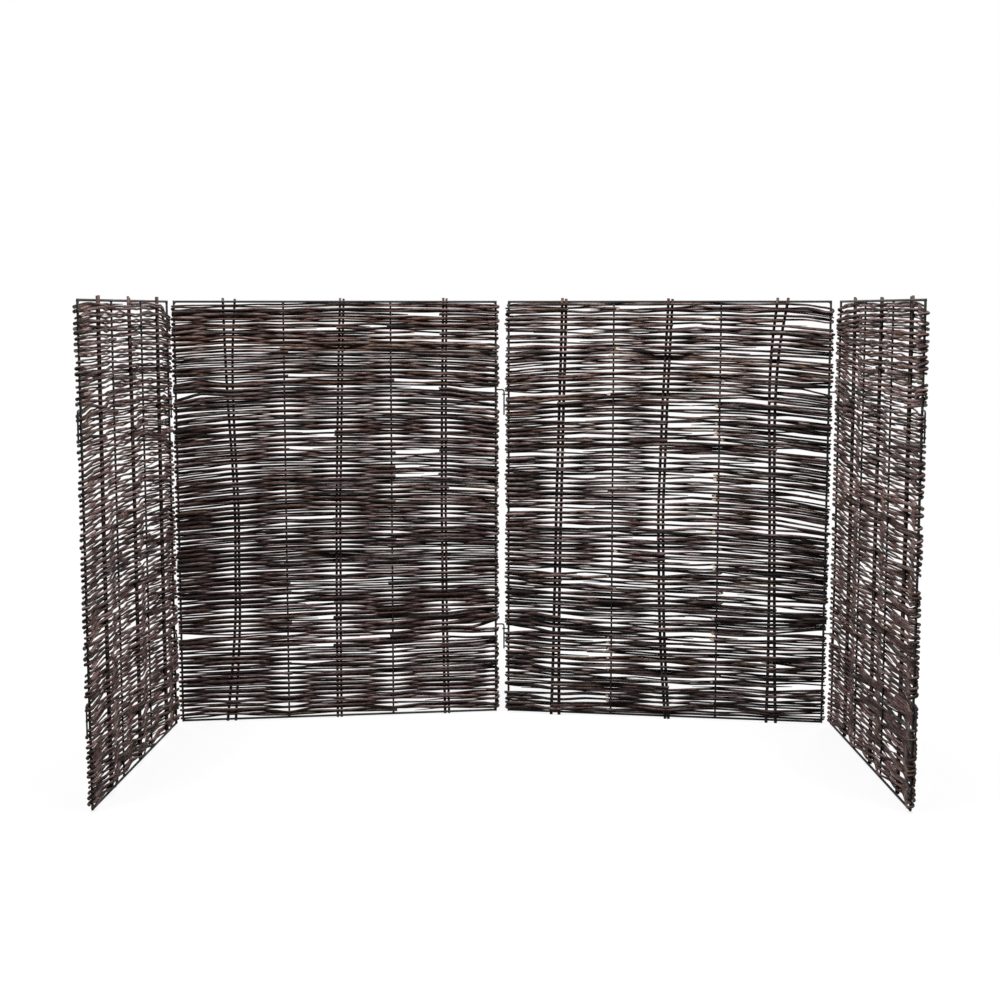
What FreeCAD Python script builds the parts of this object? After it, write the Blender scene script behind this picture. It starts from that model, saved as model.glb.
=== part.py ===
"""Woven willow hurdle: four panels hung together by hook pins and eyes, standing in a U.

Each panel is a welded steel rod frame with two inner rods, three pairs of upright willow
stakes and a wall of willow courses that pass in front of one upright and behind the next.
Millimetres, +Z up. +X is to the right and +Y away from someone who looks into the open U.
The origin is at the middle of the footprint, on the ground.
"""

import FreeCAD
import Part

import math
import os

from FreeCAD import Placement, Rotation, Vector

UP = Vector(0, 0, 1)

# Panels: distance between the axes of the two edge rods
BACK_WIDTH = 862.0
SIDE_WIDTH = 772.0

# How the four panels stand, in degrees
BACK_BEND = 8.6
CORNER_TURN = 79.2

# Welded frame of round steel rod
FRAME_RADIUS = 3.0
FRAME_SIDES = 12
INNER_ROD_RADIUS = 2.5
INNER_ROD_SIDES = 8
RAIL_LOW = 7.0
RAIL_HIGH = 1143.0
BAYS = 6

# Willow stakes, in pairs that stand against one side of the rails
STAKE_RADIUS = 4.0
STAKE_SIDES = 8
STAKE_TOP = 1155.0
PAIR_BAYS = (1, 3, 5)
ROD_BAYS = (2, 4)

# Willow courses
COURSES = 33
COURSE_DEPTH = 8.0
COURSE_OVERHANG = 8.0
COURSE_SWELL = 0.12
SEAT_CLEARANCE = 0.05

# Hook pins and the eyes that they drop into
HOOK_RADIUS = 2.0
HOOK_REACH = 23.0
HOOK_DROP = 70.0
HOOK_BEND = 6.0
HOOK_SIDES = 8
HOOK_HEIGHTS = (251.0, 904.0)
EYE_REACH = 13.0
EYE_BORE_RADIUS = 2.5
EYE_OUTER_RADIUS = 5.5
EYE_THICKNESS = 3.5
EYE_STEM_WIDTH = 2.5
EYE_SIDES = 12
EYE_BELOW_ARM = 13.0

# Each panel's width, the half spacing of its stake pairs, the side of the rails that the stakes
# stand on, where -1 is the side towards the viewer, and the open gap between its courses
PANELS = {
    "left_side": (SIDE_WIDTH, 7.0, -1, 4.0),
    "left_back": (BACK_WIDTH, 11.0, 1, 3.4),
    "right_back": (BACK_WIDTH, 7.0, -1, 5.0),
    "right_side": (SIDE_WIDTH, 7.0, 1, 3.6),
}
HOOK_EDGES = {
    "left_side": ("left", "right"),
    "left_back": ("right",),
    "right_back": ("right",),
    "right_side": ("right",),
}
EYE_PANELS = ("left_back", "right_back", "right_side")


def heading(degrees):
    """Unit vector on the ground, counter-clockwise from +X."""
    return Vector(math.cos(math.radians(degrees)), math.sin(math.radians(degrees)), 0)


def layout():
    """Plan of the screen: where each panel's left edge rod stands and which way it runs, and the pins."""
    run = {
        "left_side": BACK_BEND + CORNER_TURN,
        "left_back": BACK_BEND,
        "right_back": -BACK_BEND,
        "right_side": -BACK_BEND - CORNER_TURN,
    }
    pins = {"centre": Vector(0, 0, 0)}
    start = {}
    start["left_back"] = pins["centre"] - heading(run["left_back"]) * (HOOK_REACH + BACK_WIDTH)
    pins["left"] = start["left_back"] - heading(run["left_back"]) * EYE_REACH
    start["left_side"] = pins["left"] - heading(run["left_side"]) * (HOOK_REACH + SIDE_WIDTH)
    start["right_back"] = pins["centre"] + heading(run["right_back"]) * EYE_REACH
    pins["right"] = start["right_back"] + heading(run["right_back"]) * (BACK_WIDTH + HOOK_REACH)
    start["right_side"] = pins["right"] + heading(run["right_side"]) * EYE_REACH
    pins["left_free"] = start["left_side"] - heading(run["left_side"]) * HOOK_REACH
    pins["right_free"] = start["right_side"] + heading(run["right_side"]) * (SIDE_WIDTH + HOOK_REACH)
    return start, run, pins


def many_sided_ring(sides, flat_radius):
    """Closed outline of a regular polygon round the origin, with flats on the X and Y axes."""
    corner_radius = flat_radius / math.cos(math.pi / sides)
    turns = [2 * math.pi * (n + 0.5) / sides for n in range(sides)]
    ring = [Vector(corner_radius * math.cos(t), corner_radius * math.sin(t), 0) for t in turns]
    return Part.makePolygon(ring + ring[:1])


def straight_rod(start, direction, length, radius, sides):
    """Rod with few faces, because there are many of them: the radius is that of its flats."""
    rod = Part.Face(many_sided_ring(sides, radius)).extrude(Vector(0, 0, length))
    rod.Placement = Placement(start, Rotation(UP, direction))
    return rod


def frame_rods(width):
    """Two edge rods of full height, and the rails welded between them."""
    r = FRAME_RADIUS
    height = RAIL_HIGH - RAIL_LOW + 2 * r
    rods = {}
    for name, u in (("left_rod", 0), ("right_rod", width)):
        rods[name] = straight_rod(Vector(u, 0, RAIL_LOW - r), UP, height, r, FRAME_SIDES)
    for name, z in (("bottom_rail", RAIL_LOW), ("top_rail", RAIL_HIGH)):
        rods[name] = straight_rod(Vector(r, 0, z), Vector(1, 0, 0), width - 2 * r, r, FRAME_SIDES)
    return rods


def inner_rods(width):
    """Two thin rods that stand between the rails and carry the weave."""
    low, high = RAIL_LOW + FRAME_RADIUS, RAIL_HIGH - FRAME_RADIUS
    return [
        straight_rod(Vector(width * bay / BAYS, 0, low), UP, high - low, INNER_ROD_RADIUS, INNER_ROD_SIDES)
        for bay in ROD_BAYS
    ]


def stake(u, v):
    """One willow stake, cut square at both ends, with a flat towards the rails."""
    return straight_rod(Vector(u, v, 0), UP, STAKE_TOP, STAKE_RADIUS, STAKE_SIDES)


def stake_pair(width, bay, half_spacing, side):
    v = side * (FRAME_RADIUS + STAKE_RADIUS)
    u = width * bay / BAYS
    return [stake(u - half_spacing, v), stake(u + half_spacing, v)]


def course_line(width, half_spacing, stake_side, first_face):
    """Plan of one course, as (u, v) where it turns: in front of one upright and behind the next.

    A turn lies beyond its upright, so that the straight runs on both sides rest on the rods and stakes.
    """
    span = width / BAYS
    half = COURSE_DEPTH / 2 + SEAT_CLEARANCE
    stake_plane = stake_side * (FRAME_RADIUS + STAKE_RADIUS)
    outer_corner = half_spacing + STAKE_RADIUS * math.tan(math.pi / STAKE_SIDES)
    line = []
    for bay in range(BAYS + 1):
        face = first_face if bay % 2 == 0 else -first_face
        if bay in PAIR_BAYS:
            seat = stake_plane + face * (STAKE_RADIUS + half)
            beside = -face * (FRAME_RADIUS + half)
            v = beside + (seat - beside) * span / (span - outer_corner)
        else:
            v = face * (half + (INNER_ROD_RADIUS if bay in ROD_BAYS else FRAME_RADIUS))
        line.append((span * bay, v))
    tail = 1 + COURSE_OVERHANG / span
    ends = []
    for edge, beside in ((line[0], line[1]), (line[-1], line[-2])):
        ends.append((beside[0] + (edge[0] - beside[0]) * tail, beside[1] + (edge[1] - beside[1]) * tail))
    return [ends[0]] + line[1:-1] + [ends[1]]


def course(line, low, high):
    """One course: a flat band of rods that turns where its line turns."""
    half = COURSE_DEPTH / 2
    front = [Vector(u, v - half, low) for u, v in line]
    back = [Vector(u, v + half, low) for u, v in reversed(line)]
    outline = Part.makePolygon(front + back + front[:1])
    return Part.Face(outline).extrude(Vector(0, 0, high - low))


def woven_wall(width, half_spacing, stake_side, gap):
    """All courses of one panel, of uneven height, with light between them."""
    low, high = RAIL_LOW + FRAME_RADIUS, RAIL_HIGH - FRAME_RADIUS
    swell = [1 + COURSE_SWELL * math.sin(n * n) for n in range(COURSES)]
    unit = (high - low - gap * (COURSES + 1)) / sum(swell)
    wall = []
    for n in range(COURSES):
        low += gap
        line = course_line(width, half_spacing, stake_side, 1 if n % 2 else -1)
        wall.append(course(line, low, low + unit * swell[n]))
        low += unit * swell[n]
    return wall


def hook(u, outward, height):
    """Bent rod: a round pin that hangs straight down, a bend, and an arm welded to the edge rod."""
    pin_u = u + outward * HOOK_REACH
    pin = Part.makeCylinder(HOOK_RADIUS, HOOK_DROP - HOOK_BEND, Vector(pin_u, 0, height - HOOK_DROP), UP)
    centre = Vector(pin_u - outward * HOOK_BEND, 0, height - HOOK_BEND)
    stations = []
    for degrees in (0, 45, 90):
        across, rise = math.cos(math.radians(degrees)), math.sin(math.radians(degrees))
        middle = centre + Vector(outward * across, 0, rise) * HOOK_BEND
        stations.append((middle, Vector(-outward * rise, 0, across)))
    stations.append((Vector(u + outward * FRAME_RADIUS, 0, height), Vector(-outward, 0, 0)))
    rings = []
    for middle, direction in stations:
        ring = many_sided_ring(HOOK_SIDES, HOOK_RADIUS)
        ring.Placement = Placement(middle, Rotation(UP, direction))
        rings.append(ring)
    return pin.fuse(Part.makeLoft(rings, True, True)).Solids[0]


def eye(u, height):
    """Ring for a hook pin, on a short stem from the left edge rod."""
    base = height - EYE_THICKNESS / 2
    middle = Vector(u - EYE_REACH, 0, base)
    ring, bore = (
        straight_rod(middle, UP, EYE_THICKNESS, radius, EYE_SIDES)
        for radius in (EYE_OUTER_RADIUS, EYE_BORE_RADIUS)
    )
    stem_length = EYE_REACH - EYE_OUTER_RADIUS - FRAME_RADIUS
    corner = Vector(u - FRAME_RADIUS - stem_length, -EYE_STEM_WIDTH / 2, base)
    stem = Part.makeBox(stem_length, EYE_STEM_WIDTH, EYE_THICKNESS, corner)
    return ring.cut(bore).fuse(stem).Solids[0]


def panel(name):
    """Every piece of one panel in its own frame: u from the left edge rod, v away from the viewer."""
    width, half_spacing, stake_side, gap = PANELS[name]
    pieces = {key: [rod] for key, rod in frame_rods(width).items()}
    pieces["inner_rods"] = inner_rods(width)
    for number, bay in enumerate(PAIR_BAYS, 1):
        pieces[f"stakes_{number}"] = stake_pair(width, bay, half_spacing, stake_side)
    pieces["weave"] = woven_wall(width, half_spacing, stake_side, gap)
    for edge in HOOK_EDGES[name]:
        u, outward = (0, -1) if edge == "left" else (width, 1)
        pieces[f"{edge}_hooks"] = [hook(u, outward, height) for height in HOOK_HEIGHTS]
    if name in EYE_PANELS:
        pieces["eyes"] = [eye(0, height - EYE_BELOW_ARM) for height in HOOK_HEIGHTS]
    return pieces


def hurdle():
    """All nodes in place, with the origin moved to the middle of the footprint. Returns the pins too."""
    start, run, pins = layout()
    nodes = {}
    for name in PANELS:
        place = Placement(start[name], Rotation(UP, run[name]))
        for key, solids in panel(name).items():
            group = solids[0] if len(solids) == 1 else Part.makeCompound(solids)
            group.Placement = place * group.Placement
            nodes[f"{name}_{key}"] = group
    box = Part.makeCompound(list(nodes.values())).optimalBoundingBox()
    shift = Vector(-box.Center.x, -box.Center.y, 0)
    for group in nodes.values():
        group.translate(shift)
    return nodes, {name: pin + shift for name, pin in pins.items()}


def main():
    os.makedirs("parts", exist_ok=True)
    nodes, pins = hurdle()
    for name, group in nodes.items():
        group.exportStep(f"parts/{name}.step")
    for name, pin in pins.items():
        print(f"{name} pin at {pin.x:.3f}, {pin.y:.3f}")


if __name__ == "__main__":
    main()
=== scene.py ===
"""Looks of the woven willow hurdle screen.

Every panel gets its round willow rods, stakes, welded steel frame, hooks and eyes. A panel is worked
out flat, in millimetres: u runs from its left edge rod to its right one, v out of the U, away from
the viewer, and z up. Its place in the screen is read from the CAD nodes.
"""

import math
import random
from collections import namedtuple

import bmesh
import bpy
import numpy as np
from mathutils import Matrix, Vector, noise


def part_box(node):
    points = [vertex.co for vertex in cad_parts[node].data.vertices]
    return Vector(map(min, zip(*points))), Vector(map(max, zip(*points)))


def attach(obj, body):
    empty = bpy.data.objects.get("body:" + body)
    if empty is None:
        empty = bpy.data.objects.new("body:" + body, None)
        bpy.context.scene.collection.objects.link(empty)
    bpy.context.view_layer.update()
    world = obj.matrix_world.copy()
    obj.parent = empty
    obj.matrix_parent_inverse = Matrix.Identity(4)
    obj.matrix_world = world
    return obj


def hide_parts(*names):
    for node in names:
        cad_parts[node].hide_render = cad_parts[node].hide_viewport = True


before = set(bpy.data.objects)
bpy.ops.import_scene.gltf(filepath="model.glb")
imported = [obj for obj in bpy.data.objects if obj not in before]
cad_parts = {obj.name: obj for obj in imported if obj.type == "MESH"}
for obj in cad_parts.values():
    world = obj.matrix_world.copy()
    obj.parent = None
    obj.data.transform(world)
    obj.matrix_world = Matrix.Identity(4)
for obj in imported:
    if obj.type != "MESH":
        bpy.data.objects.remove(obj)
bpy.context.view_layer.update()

# Sizes that the CAD solids have too
FRAME_RADIUS = 3.0
INNER_ROD_RADIUS = 2.5
STAKE_RADIUS = 4.0
STAKE_TOP = 1155.0
RAIL_LOW = 7.0
RAIL_HIGH = 1143.0
BAYS = 6
STAKE_UPRIGHTS = (1, 3, 5)
INNER_UPRIGHTS = (2, 4)
HOOK_HEIGHTS = (251.0, 904.0)
HOOK_RADIUS = 2.0
HOOK_REACH = 23.0
HOOK_DROP = 70.0
HOOK_BEND = 6.0
EYE_REACH = 13.0
EYE_BELOW_ARM = 13.0
EYE_RING = 4.0
EYE_WIRE = 1.5

# Lowest and highest place of the weave, between the rails
WEAVE_LOW = RAIL_LOW + FRAME_RADIUS
WEAVE_HIGH = RAIL_HIGH - FRAME_RADIUS

# A thick rod is squeezed to the first radius where it bends round an upright, and to the second where it
# turns back round an edge rod. It lies this clear of an upright.
TIGHTEST_BEND_RADIUS = 4.15
TIGHTEST_TURN_RADIUS = 4.25
SEAT_CLEARANCE = 0.2

# Heights at which the stray of a stake pair is given
WANDER_HEIGHTS = (0.0, 250.0, 600.0, 950.0, STAKE_TOP)

# Heights between which the sag of a panel changes: both ends of the weave, where there is none, and the
# four where it is given
SAG_HEIGHTS = (WEAVE_LOW, 250.0, 580.0, 950.0, 1090.0, WEAVE_HIGH)

# Sag and arch: how many half bays the sag of an edge reaches, how far below the top rail the draw of the
# corners is felt, how far above the bottom rail the arch is, and the arch's share at the uprights
SAG_REACH = 5
CORNER_DEPTH = 90.0
ARCH_DEPTH = 160.0
ARCH_AT_UPRIGHT = 0.35

# Stretches of the range of bark colours, and what share of the rods is grey and tan
BROWN_TONES = (0.04, 0.575)
GREY_TONES = (0.62, 0.72)
RED_TONES = (0.76, 0.84)
TAN_TONES = (0.88, 1.0)
GREY_SHARE = 0.12
TAN_SHARE = 0.08

# How far the tone of a brown rod is from that of its bundle, and how often the next bundle is begun
TONE_SPREAD = 0.22
NEW_BUNDLE = 0.08

# Rods lie in groups of these sizes, this often, and are joined most often at the inner rods
GROUP_SIZES = (1, 2, 3)
GROUP_WEIGHTS = (14, 62, 24)
JOIN_UPRIGHTS = (1, 2, 2, 3, 4, 4, 5)

# Thickness of a rod as a share of its panel's mean, of its thick and thin end as a share of its own, how
# uneven it is along its length, and how far it strays where its panel's crook is 1
ROD_THICKNESS = (0.82, 1.2)
BUTT_THICKNESS = (1.12, 1.42)
TIP_THICKNESS = (0.66, 0.86)
UNEVEN_THICKNESS = (0.89, 1.12)
CROOK_RANGE = (-0.6, 0.6)

# Groups sway up and down by about this much, each like its neighbours, and fan out a little at the edges
SWAY = 1.3
SWAY_NEIGHBOURS = 6
EDGE_SPACING = (0.6, 1.0)

# How close two rods come, as a share of their radii added up: between uprights, and where they cross at
# an upright as strangers, as a pair, or in a group of three
REST_TOUCH = 0.88
STRANGER_TOUCH = 0.75
PAIR_TOUCH = 0.15
TRIPLE_TOUCH = 0.5

# Room that the rods leave for a hook or an eye at the edge rod and half a bay away, and how hard a hook
# and a rail hold their place, where a rod's hold is 1
HOOK_ROOM = 7.0
HOOK_ROOM_BESIDE = 3.0
HOOK_WEIGHT = 1e4
RAIL_WEIGHT = 1e6

# Lengths of the free ends: a tip in a bay, a tail beside the rod that goes on, a stub past an edge rod,
# a butt past a stake pair and one past an inner rod
TIP_REACH = (45, 95)
TAIL_REACH = (18, 50)
STUB_REACH = (4.5, 7.5)
PAIR_BUTT_REACH = (2, 4.5)
BUTT_REACH = (8, 12)

# A tip or tail comes back to the panel's middle over this length, drifts up or down by this slope, and
# thins out: parts of its length, and shares of its radius there
TIP_CROSSING = 70.0
TIP_DRIFT = (-0.02, 0.02)
TIP_TAPER = ((0.5, 0.7), (1.0, 0.32))

# A blunt end keeps this share of its depth, and strays up or down by this much
END_DEPTH = 0.8
END_STRAY = (-0.5, 0.5)

# Two rods turn into each other if they are no further apart than this, and this far clear of a hook that
# hangs in an eye
TURN_REACH = 14
HOOK_CLEARANCE = 14

# Slopes of the cuts: in front, as a share of the panel's slant, behind, and up or down
FRONT_CUT = (0.7, 1.2)
REAR_CUT = (0.2, 0.8)
TILTED_CUT = (-0.4, 0.4)

# Stakes: radii of the two of a pair, how far below the top they are cut, steps along one, how suddenly
# a pair opens towards its ends, how crooked one is, its thickness at the foot and its taper, and what is
# added to the panel's seed for their random draws
STAKE_RADII = ((3.7, 4.2), (3.6, 4.2))
STAKE_CUT = (0.4, 5.5)
STAKE_POINTS = 8
STAKE_OPENING = 2.6
STAKE_CROOK = (-0.5, 0.5)
STAKE_FOOT_THICKNESS = 1.06
STAKE_TAPER = 0.1
STAKE_SEED = 500

# Steel: rounding of a rod's ends, how far short of the corners the rails stop, and how far from the edge
# rod's axis a hook or an eye begins
END_ROUNDING = 0.6
RAIL_INSET = 1.0
HOOK_ROOT = 1.5

# A pin's end is rounded: heights above its end, and shares of its radius there
PIN_END = ((1.2, 1.0), (0.5, 0.92), (0.0, 0.7))
BEND_STEPS = 8

# An eye's two tails lie this far to each side of its middle, and its ring begins this far out and leaves
# an opening of this many degrees to each side
EYE_TAIL = 0.9
EYE_NECK = 6.0
EYE_MOUTH = 22
EYE_STEPS = 24

# Weld beads: radius, and how far the middle lies from the axis of the rod that it is on
CORNER_BEAD = 4.3
CORNER_BEAD_SHIFT = (1.6, 1.5)
INNER_BEAD = 3.7
INNER_BEAD_SHIFT = 2.2
HOOK_BEAD = 3.1
HOOK_BEAD_SHIFT = 2.2
EYE_BEAD = 2.6
EYE_BEAD_SHIFT = 2.4

# A bead's lumps are about 2 mm across and this share of its radius high, and differ from bead to bead.
# It is a little flat.
LUMPS_PER_MM = 0.55
LUMP_HEIGHT = 0.16
LUMP_SHIFT = 9.1
BEAD_FLATNESS = 0.92

# Sides of a round section, and steps between two points of a rod's and a stake's path
ROD_SIDES = 8
ROD_STEPS = 2
STAKE_SIDES = 12
STAKE_STEPS = 4
STEEL_SIDES = 16
EYE_SIDES = 12

# Metres of bark between the start of one rod and of the next, so that they differ
BARK_SHIFT = 2.7

# How each panel was woven, with what the two side panels and the two back panels share.
# half: half spacing of a stake pair where the rods pass it.
# spread: how far the stakes of each pair stand to each side at the top, in the middle and at the foot.
# wander: how far each pair strays to the right at the WANDER_HEIGHTS.
# side: the side of the rails that the stakes stand on, where 1 is out of the U.
# rows, rod: number of willow rods one above the other, and their mean radius.
# swell: how much thicker the rods are at the edges.
# overlap: share of the rods' spacing that is left where they cross at an upright, least and most.
# close: how far a gap beside an upright has closed halfway to the middle of the bay.
# open_bays: share of rods left out of each bay.
# joined: share of rods that are replaced by a new one at an upright.
# sag: how far the rods hang at the left and at the right edge, at the four inner SAG_HEIGHTS.
# corner: how far the top rods draw in at the left and at the right edge.
# lift: how far the lowest rods arch off the bottom rail.
# wrapped: share of rods that turn back round the edge rods.
# slim: thickness of the stakes as a share of the usual one.
# foot: height at which the stakes end.
# crook: how crooked the rods are.
# slant: how much a cut end faces the viewer.
# fresh: whether the cuts are pale.
# bundle tones: range of tones of the bundles that the rods came in. Paler ranges on the side panels
# and darker ones on the back panels are painted light: they make the sides lighter than the back.
# red: share of reddish rods.
# hooks, eyes: what the edge rods carry.
SIDE_PANEL = {
    "half": 7.0,
    "swell": 0.42,
    "close": 0.5,
    "joined": 0.2,
    "wrapped": 0.97,
    "slim": 0.88,
    "crook": 0.9,
    "slant": 0.6,
    "fresh": False,
    "red": 0.05,
}
BACK_PANEL = {
    "swell": 0.1,
    "lift": 3.0,
    "wrapped": 0.9,
    "foot": 0.8,
    "hooks": ("right",),
    "eyes": True,
}
PANELS = {
    "left_side": {
        **SIDE_PANEL,
        "seed": 11,
        "spread": ((6.0, 5.0, 5.0), (5.0, 5.0, 5.0), (5.0, 5.5, 5.5)),
        "wander": ((3, -1, -3, -1, 2), (-2, 2, 4, 1, -3), (2, -1, -2, 0, 3)),
        "side": -1,
        "rows": 178,
        "rod": 2.79,
        "overlap": (0.0, 0.45),
        "open_bays": (0.02, 0.06, 0.06, 0.08, 0.03, 0.02),
        "sag": ((16, 14, 6, 2), (15, 15, 15, 4)),
        "corner": (7.0, 24.0),
        "lift": 14.0,
        "foot": 15.0,
        # a paler range than on the back panels: painted light on this side panel
        "bundle_tones_and_painted_light": (0.33, 0.53),
        "hooks": ("left", "right"),
        "eyes": False,
    },
    "left_back": {
        **BACK_PANEL,
        "seed": 23,
        "half": 11.0,
        "spread": ((16.0, 4.8, 11.0), (4.5, 5.2, 5.2), (4.5, 5.2, 5.2)),
        "wander": ((-13, 8, 11, -3, 0), (-5, -5, -2, 7, 14), (7, 2, 0, 2, 5)),
        "side": 1,
        "rows": 172,
        "rod": 3.25,
        "overlap": (0.3, 0.95),
        "close": 0.55,
        "open_bays": (0.01, 0.0, 0.06, 0.01, 0.06, 0.02),
        "joined": 0.15,
        "sag": ((3, 20, 11, 3), (-8, 10, 13, 3)),
        "corner": (4.0, 4.0),
        "slim": 0.86,
        "crook": 0.5,
        "slant": 0.2,
        "fresh": False,
        # a darker range than on the side panels: painted shade on this back panel
        "bundle_tones_and_painted_light": (0.09, 0.34),
        "red": 0.16,
    },
    "right_back": {
        **BACK_PANEL,
        "seed": 37,
        "half": 7.0,
        "spread": ((5.0, 6.3, 11.0), (5.0, 6.3, 4.3), (14.0, 6.3, 13.0)),
        "wander": ((-11, -8, -3, 5, 10), (12, -5, -11, 0, 9), (8, 5, 0, -6, 19)),
        "side": -1,
        "rows": 160,
        "rod": 3.35,
        "overlap": (0.0, 0.6),
        "close": 0.5,
        "open_bays": (0.05, 0.1, 0.03, 0.14, 0.04, 0.12),
        "joined": 0.3,
        "sag": ((-9, 6, 12, 3), (4, 27, 21, 6)),
        "corner": (4.0, 13.0),
        "slim": 1.0,
        "crook": 0.6,
        "slant": 1.7,
        "fresh": True,
        # a darker range than on the side panels: painted shade on this back panel
        "bundle_tones_and_painted_light": (0.03, 0.25),
        "red": 0.06,
    },
    "right_side": {
        **SIDE_PANEL,
        "seed": 41,
        "spread": ((5.0, 5.5, 5.5), (5.0, 5.0, 5.0), (6.0, 5.0, 5.0)),
        "wander": ((-2, 1, 3, 1, -2), (3, -1, -3, -1, 2), (-3, 0, 2, 3, 3)),
        "side": 1,
        "rows": 176,
        "rod": 2.99,
        "overlap": (0.15, 0.75),
        "open_bays": (0.03, 0.03, 0.04, 0.05, 0.05, 0.03),
        "sag": ((0, -14, -30, 14), (4, 5, -2, 0)),
        "corner": (7.0, 9.0),
        "lift": 7.0,
        "foot": 6.0,
        # a paler range than on the back panels: painted light on this side panel
        "bundle_tones_and_painted_light": (0.36, 0.56),
        "hooks": ("right",),
        "eyes": True,
    },
}

# An upright that the rods pass: its place, its radius, and half the spacing of a stake pair
Upright = namedtuple("Upright", "u v radius half")

# What lies in a column of the weave: a rod, or none for a rail or a hook, where it wants to be, its
# radius, how hard it holds its place, and the face of the upright that it lies on
Laid = namedtuple("Laid", "rod wanted radius weight face")


def linear(code):
    """An sRGB hex colour as linear RGBA."""
    parts = [int(code[at : at + 2], 16) / 255 for at in (1, 3, 5)]
    return tuple(p / 12.92 if p < 0.04045 else ((p + 0.055) / 1.055) ** 2.4 for p in parts) + (1.0,)


def node(tree, kind, inputs=None, stops=(), **settings):
    """Add a node with its settings. An input is a value, or the socket that feeds it; stops are the
    (position, hex colour) pairs of a colour ramp."""
    made = tree.nodes.new(kind)
    for number, (position, code) in enumerate(stops):
        if number == len(made.color_ramp.elements):
            made.color_ramp.elements.new(position)
        made.color_ramp.elements[number].position = position
        made.color_ramp.elements[number].color = linear(code)
    for key, value in settings.items():
        setattr(made, key, value)
    for key, value in (inputs or {}).items():
        if isinstance(value, bpy.types.NodeSocket):
            tree.links.new(value, made.inputs[key])
        else:
            made.inputs[key].default_value = value
    return made


def new_material(name):
    """A material with an empty node tree."""
    made = bpy.data.materials.new(name)
    made.use_nodes = True
    made.node_tree.nodes.clear()
    return made, made.node_tree


def willow_bark(name, tones, weathered):
    """Dried willow with its bark on: each rod has a tone of its own, with darker and greyer lengths,
    dull scuffs, fine lengthwise wrinkles that break up the sheen, painted shade in the hollows of the
    wrinkles, and small pale pores."""
    made, tree = new_material(name)
    place = node(tree, "ShaderNodeAttribute", attribute_name="bark_place").outputs["Vector"]
    tone = node(tree, "ShaderNodeAttribute", attribute_name="bark_tone").outputs["Fac"]
    patterns = []
    for scale, detail, roughness in (
        # wrinkles 1.5 mm apart and about 40 mm long
        ((25, 650, 650), 3.0, 0.6),
        # weathered lengths about 90 mm long, often on one side of the rod only
        ((11, 90, 90), 4.0, 0.55),
        # scuffs about 15 mm long and 4 mm wide, which break up the light along a rod
        ((65, 240, 240), 3.0, 0.6),
    ):
        drawn = node(tree, "ShaderNodeMapping", {"Vector": place, "Scale": scale}).outputs["Vector"]
        pattern = node(
            tree,
            "ShaderNodeTexNoise",
            {"Vector": drawn, "Scale": 1.0, "Detail": detail, "Roughness": roughness},
        )
        patterns.append(pattern.outputs["Fac"])
    wrinkle, patch, scuff = patterns
    # pores about 2 mm long and 1 mm wide, 8 mm apart along the rod and 4 mm round it
    pore_place = node(tree, "ShaderNodeMapping", {"Vector": place, "Scale": (120, 260, 260)})
    pore = node(tree, "ShaderNodeTexVoronoi", {"Vector": pore_place.outputs["Vector"], "Scale": 1.0})
    colour = node(tree, "ShaderNodeValToRGB", {"Fac": tone}, tones).outputs["Color"]
    # layers over the bark: a pattern, its values from which and up to which the cover changes, the cover
    # at both, and the colour
    for pattern, low, high, low_cover, high_cover, layer in (
        (patch, 0.48, 0.66, 0.0, 0.75, weathered),
        (pore.outputs["Distance"], 0.1, 0.24, 0.55, 0.0, "#a3907c"),
    ):
        cover = node(
            tree,
            "ShaderNodeMapRange",
            {
                "Value": pattern,
                "From Min": low,
                "From Max": high,
                "To Min": low_cover,
                "To Max": high_cover,
            },
        ).outputs["Result"]
        # a colour mix keeps its factor in socket 0 and its two colours in sockets 6 and 7
        colour = node(
            tree,
            "ShaderNodeMix",
            {0: cover, 6: colour, 7: linear(layer)},
            data_type="RGBA",
        ).outputs[2]
    # painted shade darkens the hollows of the wrinkles; damp lengths and scuffs darken what is there too
    for pattern, stops in (
        # painted shade: darker where the wrinkle pattern is low, in its hollows
        (wrinkle, [(0.28, "#857d7b"), (0.5, "#dcd8d7"), (0.7, "#ffffff")]),
        (patch, [(0.34, "#8d8685"), (0.5, "#e6e3e2"), (0.6, "#ffffff")]),
        (scuff, [(0.36, "#857e7c"), (0.48, "#e0dcda"), (0.58, "#ffffff")]),
    ):
        shade = node(tree, "ShaderNodeValToRGB", {"Fac": pattern}, stops).outputs["Color"]
        colour = node(
            tree,
            "ShaderNodeMix",
            {0: 1.0, 6: colour, 7: shade},
            data_type="RGBA",
            blend_type="MULTIPLY",
        ).outputs[2]
    rough = node(
        tree,
        "ShaderNodeMapRange",
        {"Value": wrinkle, "From Min": 0.3, "From Max": 0.7, "To Min": 0.9, "To Max": 0.65},
    ).outputs["Result"]
    relief = node(
        tree,
        "ShaderNodeBump",
        {"Height": wrinkle, "Strength": 0.5, "Distance": 0.0006},
    ).outputs["Normal"]
    shader = node(
        tree,
        "ShaderNodeBsdfPrincipled",
        {"Base Color": colour, "Roughness": rough, "Normal": relief, "Specular IOR Level": 0.15},
    )
    node(tree, "ShaderNodeOutputMaterial", {"Surface": shader.outputs["BSDF"]})
    return made


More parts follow.
